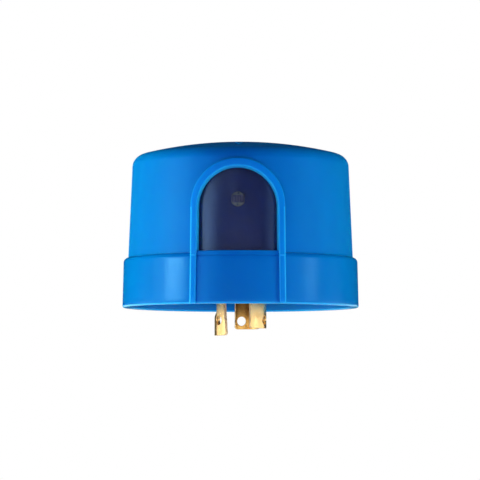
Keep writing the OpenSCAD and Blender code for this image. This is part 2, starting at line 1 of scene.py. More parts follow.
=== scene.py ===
"""Photocell switch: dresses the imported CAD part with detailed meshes, materials, lights and a camera.

Lengths are millimetres, as in the CAD source, apart from the places and sizes of the lamps and the
camera, which are metres. Heights named h count from the skirt's lower edge, and z from the gasket's
face. Meshes are written in metres, in the CAD frame.
"""
import math
import random

import bmesh
import bpy
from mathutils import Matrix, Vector


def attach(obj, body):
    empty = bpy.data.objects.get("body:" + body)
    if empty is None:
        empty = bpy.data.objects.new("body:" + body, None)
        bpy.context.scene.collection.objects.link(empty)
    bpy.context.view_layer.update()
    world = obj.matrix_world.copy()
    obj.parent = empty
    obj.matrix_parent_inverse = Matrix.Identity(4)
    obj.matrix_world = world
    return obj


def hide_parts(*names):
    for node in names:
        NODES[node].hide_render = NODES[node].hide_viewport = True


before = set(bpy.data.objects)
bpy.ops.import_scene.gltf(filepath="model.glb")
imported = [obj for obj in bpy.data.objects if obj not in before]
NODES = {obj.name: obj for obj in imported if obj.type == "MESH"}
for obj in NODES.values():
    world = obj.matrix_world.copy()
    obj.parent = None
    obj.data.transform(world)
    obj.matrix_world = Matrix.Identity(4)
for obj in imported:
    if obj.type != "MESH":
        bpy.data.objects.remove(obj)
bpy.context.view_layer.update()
MM = 0.001

# Cover
SKIRT_R = 42.0
SKIRT_H = 17.65
SKIRT_DROP = 6.0
SKIRT_DRAFT = math.radians(1.4)
SHOULDER_R = 1.65
STEP_W = 1.6
BODY_DRAFT = math.radians(2.46)
COVER_H = 58.7
DOME_R = 145.0
CORNER_R = 4.5
WALL = 2.0
RIM_ROUND = 0.6
TURNS = 320
FUSE = 0.5

# Window frame
ARCH_R = 13.9
ARCH_H = 33.2
LEG_W = 2.3
CROWN_W = 2.75
LEG_FLARE = 0.35
FRAME_PROUD = 0.7
FRAME_DRAFT = math.radians(1.0)
OUTER_ROUND = 0.45
INNER_ROUND = 0.45
SILL_H = 18.2
SPLAY = 0.22
JAMB_LOW = 16.8
WITNESS_H = 16.5
WITNESS_W = 0.45
WITNESS_DEEP = 0.3
WITNESS_NICK = 0.5
WITNESS_SOFT = 0.13
CROWN_STEPS = 72
LEG_SINK = 0.8
CROWN_SINK = 1.6
SILL_ROUND = 0.35
SILL_FOOT = WITNESS_H - 0.2
SILL_BACK = 38.4
SILL_GAP = 0.04
SILL_LAP = 0.8
CUT_SLACK = 0.05
CUT_REACH = (-50.0, -25.0)
SKIN_DEPTH = 0.23
SKIN_HALF = 0.28
FLAT_FACE = 0.997
WINDOW_SETBACK = 2.9
WINDOW_T = 2.0
WINDOW_LAP = 1.2
WINDOW_GAP = 0.1
WINDOW_CLEAR = 0.01

# Pointer on the dome
POINTER_L = 4.8
POINTER_W = 2.4
POINTER_TIP = 30.0
POINTER_T = 0.35
# Share by which each ring is drawn in, and its lift off the dome
POINTER_RINGS = (
    (0, -0.6), (0, POINTER_T - 0.14), (0.03, POINTER_T - 0.05),
    (0.08, POINTER_T - 0.01), (0.16, POINTER_T),
)

# Inside of the skirt
GASKET_T = 3.0
BASE_GAP = 0.3
BASE_WALL = 2.1
LUG_REACH = 0.5
LUG_H = 2.1
LUG_ANGLE = 14.0
KEY_W = 3.0
KEY_L = 2.6
KEY_ANGLES = (30, 150, 270)

# Blades
BLADE_R = 9.25
BLADE_T = 1.5
BLADE_EDGE = 0.12
FLOOR_Z = 6.5
DECK_Z = 14.6
TAIL_REACH = 1.2
TAIL_W = 3.0
FOOT_W = 6.5
FOOT_REACH = 17.0
TIP_R = 1.0
HOLE_D = 3.3
HOLE_DROP = 10.5
SHANK_STEP = 22.0
SHANK_SLOPE = 2.0
SHANK_GAP = 1.2
EDGE_SLOPE = 0.072
EDGE_SLOPE_TOP = -4.0
EDGE_STEPS = 48
HOLE_STEPS = 48
SHEAR_STEP = 0.16
FOOT_SOFT = 0.1
BEND_STEP = 2
SHARP_ANGLE = math.radians(35)
# Name, middle, start and span in degrees, reach, angle of the hole, step of the shank, seed
BLADES = (
    ("neutral_strip", 220.0, -38.5, 55.0, 15.9, -6.5, SHANK_STEP, 3),
    ("line_strip", 324.5, -31.0, 62.0, 13.4, 15.0, 0.0, 5),
    ("load_strip", 74.0, -31.0, 62.0, 13.4, 15.0, 0.0, 7),
)

# Light cell
CELL_D = 5.0
CELL_W = 4.4
CELL_T = 2.1
CELL_H = 36.1
CELL_GAP = 1.6
# Scale and depth of each ring, from the back to the face
CELL_RINGS = ((0.97, CELL_T), (1.0, CELL_T - 0.07), (1.0, 0.25), (0.985, 0.12), (0.95, 0.03), (0.9, 0.0))
COMB_W = 2.14
COMB_H = 1.3
COMB_ROUND = 0.3
TRACK_X = (-1.76, -0.88, 0.0, 0.88, 1.76)
TRACK_REACH = 1.02
TRACK_HALF = 0.17
LEAD_SPOTS = ((0.2, 1.95), (-0.2, -1.95))
LEAD_R = 0.3

# Lamps and cards
LAMP_AIM = (0, 0, 0.02)
WHITE = (1.0, 1.0, 1.0)
COOL = (0.37, 0.62, 1.0)
# Name, place, size, power, colour and whether gloss shows the lamp
LAMPS = (
    ("key", (-0.75, 0.026, 0.0), (0.25, 0.30), 5.8, (1.0, 0.98, 0.80), False),
    ("fill", (0.74, -0.10, 0.0), (0.25, 0.30), 3.5, (1.0, 0.98, 0.82), False),
    ("bounce", (0.0, -0.62, -0.17), (0.7, 0.3), 2.2, (0.36, 0.28, 1.0), False),
    ("top", (-0.20, -0.70, 0.24), (0.4, 0.3), 0.40, (0.7, 0.85, 1.0), False),
    ("back", (0.0, 0.75, 0.06), (0.5, 0.4), 3.2, (1.0, 0.98, 0.9), False),
    ("over", (0.0, 0.60, 0.55), (0.5, 0.4), 1.6, (0.7, 0.85, 1.0), False),
    ("strip_left", (-0.80, -0.39, 0.10), (0.32, 0.055), 1.05, WHITE, True),
    ("strip_right", (0.82, -0.26, 0.10), (0.22, 0.055), 0.20, WHITE, True),
)


def skirt_r(h):
    return SKIRT_R - h * math.tan(SKIRT_DRAFT)


def body_r(h):
    return skirt_r(SKIRT_H) - STEP_W - (h - SKIRT_H) * math.tan(BODY_DRAFT)


def frame_r(h):
    return SKIRT_R + FRAME_PROUD - h * math.tan(FRAME_DRAFT)


WINDOW_R = frame_r(ARCH_H) - WINDOW_SETBACK
WINDOW_IN = WINDOW_R - WINDOW_T
LEDGE_H = SKIRT_H - WALL
BASE_R = skirt_r(LEDGE_H) - WALL / math.cos(SKIRT_DRAFT) - BASE_GAP
CELL_Y = -(WINDOW_IN - CELL_GAP)


# Mesh helpers

def new_object(name, verts, faces):
    """A mesh object from points in millimetres, in the CAD frame."""
    mesh = bpy.data.meshes.new(name)
    mesh.from_pydata([[c * MM for c in v] for v in verts], [], faces)
    mesh.validate()
    obj = bpy.data.objects.new(name, mesh)
    bpy.context.scene.collection.objects.link(obj)
    return obj


def face_outwards(obj):
    bm = bmesh.new()
    bm.from_mesh(obj.data)
    bmesh.ops.recalc_face_normals(bm, faces=bm.faces)
    bm.to_mesh(obj.data)
    bm.free()


def smooth(obj, degrees):
    """Smooth shading, with edges sharper than an angle left hard."""
    obj.data.shade_smooth()
    obj.data.set_sharp_from_angle(angle=math.radians(degrees))


def grid_faces(rows, cols, wrap=False):
    """Quads over points numbered row by row; wrap joins the last column to the first."""
    faces = []
    for i in range(rows - 1):
        near, far = i * cols, (i + 1) * cols
        for j in range(cols if wrap else cols - 1):
            j2 = (j + 1) % cols
            faces.append([near + j, near + j2, far + j2, far + j])
    return faces


def loft(name, rings):
    """Closed solid through rings of equally many points, with a flat cap on the first and the last."""
    count = len(rings[0])
    verts = [p for ring in rings for p in ring]
    faces = grid_faces(len(rings), count, wrap=True)
    faces.append(list(range(count))[::-1])
    last = (len(rings) - 1) * count
    faces.append(list(range(last, last + count)))
    obj = new_object(name, verts, faces)
    face_outwards(obj)
    return obj


def sweep_round(name, section, start, end, steps):
    """Closed sector: a section of (radius, h) points swept about the axis between two angles."""
    rings = []
    for i in range(steps + 1):
        a = math.radians(start + (end - start) * i / steps)
        rings.append([(r * math.cos(a), r * math.sin(a), h - SKIRT_DROP) for r, h in section])
    return loft(name, rings)


def carve(obj, other, operation):
    """Applies a boolean with another closed mesh, which is then removed."""
    mod = obj.modifiers.new("carve", "BOOLEAN")
    mod.operation = operation
    mod.solver = "EXACT"
    mod.object = other
    graph = bpy.context.evaluated_depsgraph_get()
    graph.update()
    mesh = bpy.data.meshes.new_from_object(obj.evaluated_get(graph))
    obj.modifiers.clear()
    obj.data = mesh
    bpy.data.objects.remove(other)


def arc(cx, cy, r, start, end, steps):
    """Points of an arc in degrees, both ends included."""
    points = []
    for i in range(steps + 1):
        a = math.radians(start + (end - start) * i / steps)
        points.append((cx + r * math.cos(a), cy + r * math.sin(a)))
    return points


def between(p, q, steps):
    """Points after p on the way to q, q left out."""
    points = []
    for i in range(1, steps):
        points.append((p[0] + (q[0] - p[0]) * i / steps, p[1] + (q[1] - p[1]) * i / steps))
    return points


# Cover

def corner_centre():
    """Centre of the round between wall and dome, the same for the outside and the inside."""
    k = math.tan(BODY_DRAFT)
    a = body_r(0) - CORNER_R / math.cos(BODY_DRAFT)
    dome_h = COVER_H - DOME_R
    b = a * k + dome_h
    c = a * a + dome_h * dome_h - (DOME_R - CORNER_R) ** 2
    h = (b + math.sqrt(b * b - (1 + k * k) * c)) / (1 + k * k)
    return a - k * h, h


def body_outline(inset):
    """Corner and dome as (radius, h) points, from the corner's foot up, coarser on the inside."""
    x, h = corner_centre()
    dome_h = COVER_H - DOME_R
    turn = math.degrees(math.atan2(h - dome_h, x))
    corner_steps, dome_steps = (14, 26) if inset == 0 else (6, 12)
    points = arc(x, h, CORNER_R - inset, math.degrees(BODY_DRAFT), turn, corner_steps)
    points += arc(0, dome_h, DOME_R - inset, turn, 90, dome_steps)[1:-1]
    return points


def shell_profile():
    """Outside from the rim up to near the axis, and inside from there down to the rim."""
    side = WALL / math.cos(SKIRT_DRAFT)
    draft = math.degrees(SKIRT_DRAFT)
    outside = arc(skirt_r(RIM_ROUND) - RIM_ROUND, RIM_ROUND, RIM_ROUND, -90, draft, 5)
    shoulder_h = SKIRT_H - SHOULDER_R
    shoulder_x = skirt_r(shoulder_h) - SHOULDER_R / math.cos(SKIRT_DRAFT)
    shoulder = arc(shoulder_x, shoulder_h, SHOULDER_R, draft, 88, 10)
    outside += between(outside[-1], shoulder[0], 14) + shoulder
    foot = (body_r(SKIRT_H), SKIRT_H)
    body = body_outline(0)
    outside += [foot] + between(foot, body[0], 26) + body
    inner_body = body_outline(WALL)[::-1]
    ledge = (body_r(LEDGE_H) - WALL / math.cos(BODY_DRAFT), LEDGE_H)
    inside = inner_body + between(inner_body[-1], ledge, 10) + [ledge]
    wall_top = (skirt_r(LEDGE_H) - side, LEDGE_H)
    rim = arc(skirt_r(RIM_ROUND) - side + RIM_ROUND, RIM_ROUND, RIM_ROUND, 180, 270, 5)
    inside += [wall_top] + between(wall_top, rim[0], 8) + rim
    return outside, inside


def revolve(name, outside, inside):
    """Closed shell of revolution: the two outlines meet at the rim, and each is closed on the axis."""
    profile = inside + outside
    apex_in, apex_out = (COVER_H - WALL - SKIRT_DROP), (COVER_H - SKIRT_DROP)
    verts = []
    for r, h in profile:
        for i in range(TURNS):
            a = 2 * math.pi * i / TURNS
            verts.append((r * math.cos(a), r * math.sin(a), h - SKIRT_DROP))
    faces = grid_faces(len(profile), TURNS, wrap=True)
    verts += [(0, 0, apex_in), (0, 0, apex_out)]
    top_in, top_out = len(verts) - 2, len(verts) - 1
    last = (len(profile) - 1) * TURNS
    for i in range(TURNS):
        j = (i + 1) % TURNS
        faces.append([top_in, j, i])
        faces.append([top_out, last + i, last + j])
    obj = new_object(name, verts, faces)
    face_outwards(obj)
    return obj


def front_point(x, r, h):
    """The point at x and h on the front of a cylinder."""
    return (x, -math.sqrt(r * r - x * x), h - SKIRT_DROP)


def frame_path():
    """Stations on the arch's inner edge, from the right leg to the left: x, h and the outward normal."""
    low = [0.0, 0.06, 0.16, 0.3, RIM_ROUND]
    rise = [i * 1.6 + 1.6 for i in range(9)]
    witness = [WITNESS_H + d for d in (-0.4, -0.26, -0.16, -0.08, 0.0, 0.08, 0.16, 0.26)]
    high = [16.9, 17.4, 17.9, SILL_H, 18.6] + [19.5 + 1.5 * i for i in range(9)]
    heights = low + rise + witness + high
    leg = [(ARCH_R + LEG_FLARE * (ARCH_H - h) / ARCH_H, h) for h in heights]
    stations = [(x, h, 1.0, 0.0) for x, h in leg]
    for i in range(CROWN_STEPS + 1):
        a = math.pi * i / CROWN_STEPS
        stations.append((ARCH_R * math.cos(a), ARCH_H + ARCH_R * math.sin(a), math.cos(a), math.sin(a)))
    stations += [(-x, h, -1.0, 0.0) for x, h in reversed(leg)]
    return stations


def frame_section(h, width):
    """(offset, depth) points across the frame at a height of its path, and the jamb's splay there."""
    splay = SPLAY * min(1.0, max(0.0, (h - JAMB_LOW) / (SILL_H - JAMB_LOW)))
    rim = RIM_ROUND - math.sqrt(max(0.0, RIM_ROUND ** 2 - max(0.0, RIM_ROUND - h) ** 2))
    deep = rim + WITNESS_NICK * WITNESS_DEEP * math.exp(-((h - WITNESS_H) / WITNESS_SOFT) ** 2)
    turns = [math.pi / 2 * i / 6 for i in range(7)]
    points = []
    for a in reversed(turns):
        points.append((width - OUTER_ROUND * (1 - math.sin(a)), deep + OUTER_ROUND * (1 - math.cos(a))))
    points += [(width * t, deep) for t in (0.66, 0.5, 0.34)]
    for a in turns:
        u, d = INNER_ROUND * (1 - math.sin(a)), INNER_ROUND * (1 - math.cos(a))
        points.append((u - splay * d, deep + d))
    return points, splay


def build_frame_ring():
    """Raised frame round the window, with its two legs and the rebate for the pane."""
    rings = []
    for x, h, nx, nh in frame_path():
        width = LEG_W + (CROWN_W - LEG_W) * nh
        points, splay = frame_section(h, width)
        ring = []
        for u, d in points:
            px, ph = x + nx * u, h + nh * u
            ring.append(front_point(px, frame_r(ph) - d, ph))
        if h > JAMB_LOW:
            lip = splay * (frame_r(h) - WINDOW_R)
            back = [(-lip, WINDOW_R), (WINDOW_LAP, WINDOW_R), (WINDOW_LAP, None), (width, None)]
        else:
            back = [(u, skirt_r(h) - LEG_SINK) for u in (0.0, 0.6, 1.2, width)]
        for u, r in back:
            px, ph = x + nx * u, h + nh * u
            ring.append(front_point(px, body_r(ph) - CROWN_SINK if r is None else r, ph))
        rings.append(ring)
    return loft("frame_ring", rings)


def build_opening_cutter():
    """Arched block that opens the wall for the window and its rebate."""
    r, low = ARCH_R + WINDOW_LAP + CUT_SLACK, SILL_H - WINDOW_LAP - CUT_SLACK
    outline = [(r, low)] + arc(0, ARCH_H, r, 0, 180, 48) + [(-r, low)]
    rings = [[(x, y, h - SKIRT_DROP) for x, h in outline] for y in CUT_REACH]
    return loft("opening_cutter", rings)


def build_sill():
    """Strip under the window, in line with the skirt, with a rounded upper edge."""
    top, low = skirt_r(SILL_H), SILL_H - WINDOW_LAP
    pane = WINDOW_R + SILL_GAP
    section = [(SILL_BACK, SILL_FOOT), (skirt_r(SILL_FOOT), SILL_FOOT)]
    section += arc(top - SILL_ROUND, SILL_H - SILL_ROUND, SILL_ROUND, 0, 90, 5)
    section += [(pane, SILL_H), (pane, low), (SILL_BACK, low)]
    half = math.degrees(math.asin((ARCH_R + SILL_LAP) / top))
    return sweep_round("sill", section, -90 - half, -90 + half, 48)


def build_witness_cutter():
    """Groove between the sill and the panel below it."""
    wide, narrow = WITNESS_W * 0.62, WITNESS_W * 0.25
    r = skirt_r(WITNESS_H)
    bottom, outside = r - WITNESS_DEEP, r + 0.4
    section = [
        (bottom, WITNESS_H - narrow), (outside, WITNESS_H - wide),
        (outside, WITNESS_H + wide), (bottom, WITNESS_H + narrow),
    ]
    half = math.degrees(math.asin(ARCH_R / r))
    return sweep_round("witness_cutter", section, -90 - half, -90 + half, 48)


def build_pointer():
    """Raised triangle on the dome, with softened edges."""
    tip, base = -POINTER_TIP, -POINTER_TIP + POINTER_L
    corners = [(0, tip), (POINTER_W / 2, base), (-POINTER_W / 2, base)]
    centre = (0, base - POINTER_L * 0.36)
    outline = []
    for p, q in zip(corners, corners[1:] + corners[:1]):
        outline += [p] + between(p, q, 8)
    rings = []
    for inset, lift in POINTER_RINGS:
        ring = []
        for x, y in outline:
            x, y = x + (centre[0] - x) * inset, y + (centre[1] - y) * inset
            dome = COVER_H - DOME_R + math.sqrt((DOME_R + lift) ** 2 - x * x - y * y)
            ring.append((x, y, dome - SKIRT_DROP))
        rings.append(ring)
    return loft("pointer", rings)


def build_lugs():
    """Snap lugs under the base, midway between the keys."""
    top = GASKET_T + SKIRT_DROP - BASE_GAP / 3
    wall, reach = skirt_r(top) - WALL + FUSE, BASE_R - LUG_REACH
    section = [(wall, top), (reach, top), (reach, top - LUG_H / 3), (wall, top - LUG_H)]
    middles = [angle + 60 for angle in KEY_ANGLES]
    half = LUG_ANGLE / 2
    return [sweep_round("lug", section, a - half, a + half, 10) for a in middles]


def build_keys():
    """Ribs under the ledge that keep the base from turning."""
    keys = []
    low, high = LEDGE_H - KEY_L - SKIRT_DROP, LEDGE_H + FUSE - SKIRT_DROP
    for angle in KEY_ANGLES:
        a = math.radians(angle)
        rings = []
        for r in (BASE_R - BASE_WALL, BASE_R + BASE_GAP + FUSE):
            ring = []
            for side, z in ((-1, low), (1, low), (1, high), (-1, high)):
                w = side * KEY_W / 2
                ring.append((r * math.cos(a) - w * math.sin(a), r * math.sin(a) + w * math.cos(a), z))
            rings.append(ring)
        keys.append(loft("key", rings))
    return keys


def mark_edges(cover):
    """Gives the frame's face and crown the second material, a lighter copy of the plastic as painted
    light, and the jamb and the other edges the third, a paler copy as painted highlight and painted
    light.
    """
    for face in cover.data.polygons:
        x, y, z = face.center / MM
        h, r = z + SKIRT_DROP, math.hypot(x, y)
        radial = (face.normal.x * x + face.normal.y * y) / max(r, 0.001)
        near_frame = y < 0 and abs(x) < ARCH_R + CROWN_W + 1.0
        on_frame = near_frame and abs(frame_r(h) - r - SKIN_DEPTH) < SKIN_HALF and radial > 0.1
        reach = math.hypot(x, max(0.0, h - ARCH_H))
        on_jamb = near_frame and h > SILL_H and reach < ARCH_R + 0.2
        on_crown = h > ARCH_H and reach > ARCH_R + LEG_W / 2
        # Index 2 paints a paler plastic on the rim's rounded edge, the frame's edges and the jamb:
        # painted highlight on the edges and painted light on the jamb.
        if h < RIM_ROUND:
            face.material_index = 2
        # Index 1 paints the frame's face and crown lighter than the body: painted light.
        elif on_frame:
            face.material_index = 1 if radial > FLAT_FACE or on_crown else 2
        elif on_jamb:
            face.material_index = 2


def build_cover():
    """The whole moulding in one mesh."""
    cover = revolve("cover_shell", *shell_profile())
    carve(cover, build_opening_cutter(), "DIFFERENCE")
    for part in [build_frame_ring(), build_sill(), build_pointer()] + build_lugs() + build_keys():
        carve(cover, part, "UNION")
    carve(cover, build_witness_cutter(), "DIFFERENCE")
    mark_edges(cover)
    smooth(cover, 30)
    return cover


# Window

def build_window():
    """Curved pane with an arched outline."""
    r, low = ARCH_R + WINDOW_LAP - WINDOW_GAP, SILL_H - WINDOW_LAP + WINDOW_GAP
    heights = [low + (ARCH_H - low) * i / 16 for i in range(16)]
    heights += [ARCH_H + r * math.sin(math.pi / 2 * i / 40) for i in range(40)]
    rows = [(h, r if h <= ARCH_H else math.sqrt(r * r - (h - ARCH_H) ** 2)) for h in heights]
    cols = 64
    verts = []
    for radius in (WINDOW_R - WINDOW_CLEAR, WINDOW_IN):
        for h, w in rows:
            for j in range(cols + 1):
                verts.append(front_point(w * (2 * j / cols - 1), radius, h))
    half = len(rows) * (cols + 1)
    front = grid_faces(len(rows), cols + 1)
    back = [[i + half for i in f[::-1]] for f in front]
    edge = list(range(cols + 1))
    edge += [i * (cols + 1) + cols for i in range(1, len(rows))]
    edge += [(len(rows) - 1) * (cols + 1) + j for j in range(cols - 1, -1, -1)]
    edge += [i * (cols + 1) for i in range(len(rows) - 2, 0, -1)]
    rim = [[a, b, b + half, a + half] for a, b in zip(edge, edge[1:] + edge[:1])]
    pane = new_object("window_pane", verts, front + back + rim)
    face_outwards(pane)
    smooth(pane, 40)
    return pane


# Blades

def plate_curve(name, outlines):
    """Flat plate with rounded edges from closed outlines of (s, z) points; later outlines are holes."""
    data = bpy.data.curves.new(name, "CURVE")
    data.dimensions = "2D"
    data.fill_mode = "BOTH"
    data.extrude = (BLADE_T / 2 - BLADE_EDGE) * MM
    data.bevel_depth = BLADE_EDGE * MM
    data.bevel_resolution = 2
    data.offset = -BLADE_EDGE * MM
    for outline in outlines:
        spline = data.splines.new("POLY")
        spline.points.add(len(outline) - 1)
        for point, (s, z) in zip(spline.points, outline):
            point.co = (s * MM, z * MM, 0, 1)
        spline.use_cyclic_u = True
    curve = bpy.data.objects.new(name, data)
    bpy.context.scene.collection.objects.link(curve)
    graph = bpy.context.evaluated_depsgraph_get()
    mesh = bpy.data.meshes.new_from_object(curve.evaluated_get(graph))
    bpy.data.objects.remove(curve)
    return mesh


def rough_edge(side, inwards, rng):
    """Small uneven steps that a shear leaves along an edge, cut inwards only."""
    return [(s + inwards * rng.uniform(0.0, SHEAR_STEP), z) for s, z in side]


def blade_outline(start, end, top, low, step, seed):
    """Outline in arc length and height, with rounded tip corners and, if step is set, a narrow shank."""
    rng = random.Random(seed)
    outline = arc(end - TIP_R, low + TIP_R, TIP_R, -90, 0, 8)
    right = []
    for i in range(1, EDGE_STEPS):
        z = low + TIP_R + (top - low - TIP_R) * i / EDGE_STEPS
        slope = EDGE_SLOPE * (min(z, EDGE_SLOPE_TOP) - low - TIP_R) if step > 0 else 0.0
        right.append((end - slope, z))
    outline += rough_edge(right, -1, rng) + [(right[-1][0], top)]
    if step > 0:
        shoulder = -HOLE_DROP + HOLE_D / 2 + SHANK_GAP
        outline += [(start + step, top), (start + step, shoulder + 0.3)]
        outline += [(start + step - 0.12, shoulder - 0.1), (start, shoulder - SHANK_SLOPE)]
    else:
        left = [(start, top - (top - low - TIP_R) * i / EDGE_STEPS) for i in range(1, EDGE_STEPS)]
        outline += [(start, top)] + rough_edge(left, 1, rng)
    outline += arc(start + TIP_R, low + TIP_R, TIP_R, 180, 270, 8)
    return outline


def bend(bm, radius):
    """Rolls a plate in x and y, with its thickness in z, about the part's axis."""
    for v in bm.verts:
        s, z, t = v.co
        a = s / (radius * MM)
        r = radius * MM + t
        v.co = (r * math.cos(a), r * math.sin(a), z)


def add_box(bm, low, high, soft):
    """Box with bevelled edges in millimetres."""
    made = bmesh.ops.create_cube(bm, size=1.0)["verts"]
    for v in made:
        v.co = Vector([((l + h) / 2 + c * (h - l)) * MM for l, h, c in zip(low, high, v.co)])
    edges = {e for v in made for e in v.link_edges}
    bmesh.ops.bevel(bm, geom=list(edges), offset=soft * MM, segments=2, affect="EDGES", profile=0.5)


def split_along(bm, start, span, arc_len):
    """Cuts the flat plate every few degrees, so that it can bend."""
    for i in range(1, int(span / BEND_STEP)):
        s = (start + BEND_STEP * i) * arc_len * MM
        geom = bm.verts[:] + bm.edges[:] + bm.faces[:]
        bmesh.ops.bisect_plane(bm, geom=geom, plane_co=(s, 0, 0), plane_no=(1, 0, 0))


def mark_blade(bm, hole_s):
    """Gives the cut edges, apart from the hole's, the second material and the inside the third."""
    bm.normal_update()
    centre = Vector((hole_s * MM, -HOLE_DROP * MM, 0))
    for face in bm.faces:
        in_hole = (face.calc_center_median() - centre).length < (HOLE_D / 2 + BLADE_T / 2) * MM
        if face.normal.z < -0.5:
            face.material_index = 2
        elif not in_hole and face.normal.z < 0.5:
            face.material_index = 1


def add_foot(bm):
    """Foot on the base's floor, and the tail that goes up through the board."""
    half, top = FOOT_W / 2, FLOOR_Z + BLADE_T
    add_box(bm, (BLADE_R - BLADE_T / 2, -half, FLOOR_Z), (FOOT_REACH, half, top), FOOT_SOFT)
    half, top = TAIL_W / 2, DECK_Z + TAIL_REACH
    add_box(bm, (FOOT_REACH - BLADE_T, -half, FLOOR_Z), (FOOT_REACH, half, top), FOOT_SOFT)


def turn_about_axis(bm, degrees):
    a = math.radians(degrees)
    for v in bm.verts:
        x, y = v.co.x, v.co.y
        v.co.x, v.co.y = x * math.cos(a) - y * math.sin(a), x * math.sin(a) + y * math.cos(a)


def smooth_blade(bm, borders):
    """Smooth shading, with sharp edges and the borders of the flat faces left hard."""
    bmesh.ops.recalc_face_normals(bm, faces=bm.faces)
    for face in bm.faces:
        face.smooth = True
    for edge in bm.edges:
        edge.smooth = len(edge.link_faces) == 2 and edge.calc_face_angle() < SHARP_ANGLE
    for edge in borders:
        edge.smooth = False


def build_blade(name, mid, start, span, reach, hole, step, seed):
    """A blade cut as a flat plate, rolled about the axis and turned to its place."""
    mean_r = BLADE_R - BLADE_T / 2
    arc_len = mean_r * math.pi / 180
    top = FLOOR_Z + BLADE_T
    outline = blade_outline(start * arc_len, (start + span) * arc_len, top, -reach, step * arc_len, seed)
    hole_ring = arc(hole * arc_len, -HOLE_DROP, HOLE_D / 2, 0, 360, HOLE_STEPS)[:-1]
    mesh = plate_curve(name, [outline, hole_ring])
    bm = bmesh.new()
    bm.from_mesh(mesh)
    bpy.data.meshes.remove(mesh)
    bmesh.ops.remove_doubles(bm, verts=bm.verts, dist=1e-6)
    split_along(bm, start, span, arc_len)
    mark_blade(bm, hole * arc_len)
    borders = [e for e in bm.edges if len({abs(f.normal.z) > 0.99 for f in e.link_faces}) == 2]
    bend(bm, mean_r)
    add_foot(bm)
    turn_about_axis(bm, mid)
    smooth_blade(bm, borders)
    mesh = bpy.data.meshes.new(name)
    bm.to_mesh(mesh)
    bm.free()
    obj = bpy.data.objects.new(name, mesh)
    bpy.context.scene.collection.objects.link(obj)
    return obj


# Light cell

def build_cell():
    """Ceramic chip with two flat sides and a softened rim."""
    outline = []
    half = CELL_W / 2
    limit = math.degrees(math.acos(half / (CELL_D / 2)))
    outline += arc(0, 0, CELL_D / 2, limit, 180 - limit, 20)
    outline += arc(0, 0, CELL_D / 2, 180 + limit, 360 - limit, 20)
    rings = []
    for scale, depth in CELL_RINGS:
        rings.append([(x * scale, CELL_Y + depth, z * scale + CELL_H - SKIRT_DROP) for x, z in outline])
    cell = loft("cell_chip", rings)
    smooth(cell, 40)
    return cell


def flat_patch(name, outline, depth, proud):
    """Thin plate on the cell's face from an (x, z) outline, with a softened front edge."""
    rings = []
    for inset, y in ((0.0, depth), (0.0, -proud * 0.6), (0.02, -proud)):
        ring = []
        for x, z in outline:
            ring.append((x * (1 - inset), CELL_Y + y, z * (1 - inset) + CELL_H - SKIRT_DROP))
        rings.append(ring)
    patch = loft(name, rings)
    smooth(patch, 40)
    return patch


def build_comb():
    """Metal field between the cell's two end caps."""
    w, h, soft = COMB_W, COMB_H, COMB_ROUND
    outline = arc(w - soft, h - soft, soft, 0, 90, 5) + arc(soft - w, h - soft, soft, 90, 180, 5)
    outline += arc(soft - w, soft - h, soft, 180, 270, 5) + arc(w - soft, soft - h, soft, 270, 360, 5)
    return flat_patch("cell_comb", outline, 0.15, 0.02)


def track_outline(points, half):
    """Outline of a ribbon along a path with square turns."""
    steps = [(q[0] - p[0], q[1] - p[1]) for p, q in zip(points, points[1:])]
    sides = [(-dz / math.hypot(dx, dz), dx / math.hypot(dx, dz)) for dx, dz in steps]
    left, right = [], []
    for i, (x, z) in enumerate(points):
        near = sides[max(0, i - 1):i + 1] if i < len(sides) else sides[-1:]
        nx, nz = sum(n[0] for n in near), sum(n[1] for n in near)
        left.append((x + nx * half, z + nz * half))
        right.append((x - nx * half, z - nz * half))
    return left + right[::-1]


def build_track():
    """Dark serpentine track across the cell's face."""
    points = []
    for i, x in enumerate(TRACK_X):
        ends = [(x, -TRACK_REACH), (x, TRACK_REACH)]
        points += ends if i % 2 == 0 else ends[::-1]
    return flat_patch("cell_track", track_outline(points, TRACK_HALF), 0.03, 0.05)


def build_lead_ends():
    """Ends of the two leads in the cell's face."""
    ends = []
    for i, (x, z) in enumerate(LEAD_SPOTS):
        ends.append(flat_patch(f"lead_end_{i}", arc(x, z, LEAD_R, 0, 360, 14)[:-1], 0.05, 0.06))
    return ends


# Materials

